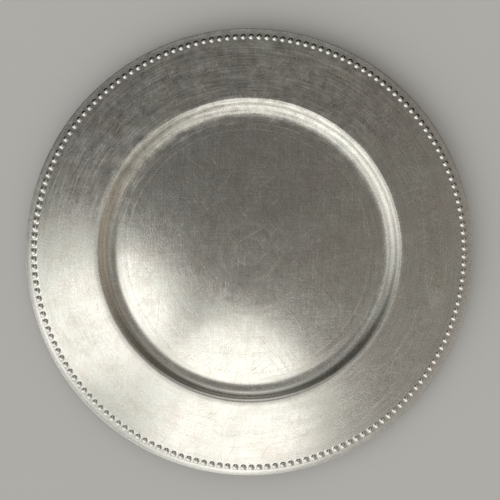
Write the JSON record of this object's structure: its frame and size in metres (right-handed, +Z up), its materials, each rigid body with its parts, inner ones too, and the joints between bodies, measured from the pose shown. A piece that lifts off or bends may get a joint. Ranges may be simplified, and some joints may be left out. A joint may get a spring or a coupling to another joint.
{
  "type": "salver",
  "caption": "Round silver salver with a shallow well, a wide flat rim, a beaded border and a low foot ring.",
  "frame": {"origin": "on the table under the middle of the foot ring, on the salver's turning axis", "axes": "+Z up, along the axis that every piece is turned about; X and Y lie in the table's plane, with a joint of the bead wire on +X"},
  "size_m": [0.33, 0.33, 0.0141],
  "materials": {
    "body_silver": "satin",
    "border_silver": "satin",
    "edge_silver": "satin",
    "foot_silver": "satin"
  },
  "bodies": {
    "root": {"plate_body": "body_silver", "bead_wire_1": "border_silver", "bead_wire_2": "border_silver", "bead_wire_3": "border_silver", "edge_wire": "edge_silver", "foot_ring": "foot_silver"}
  },
  "joints": []
}
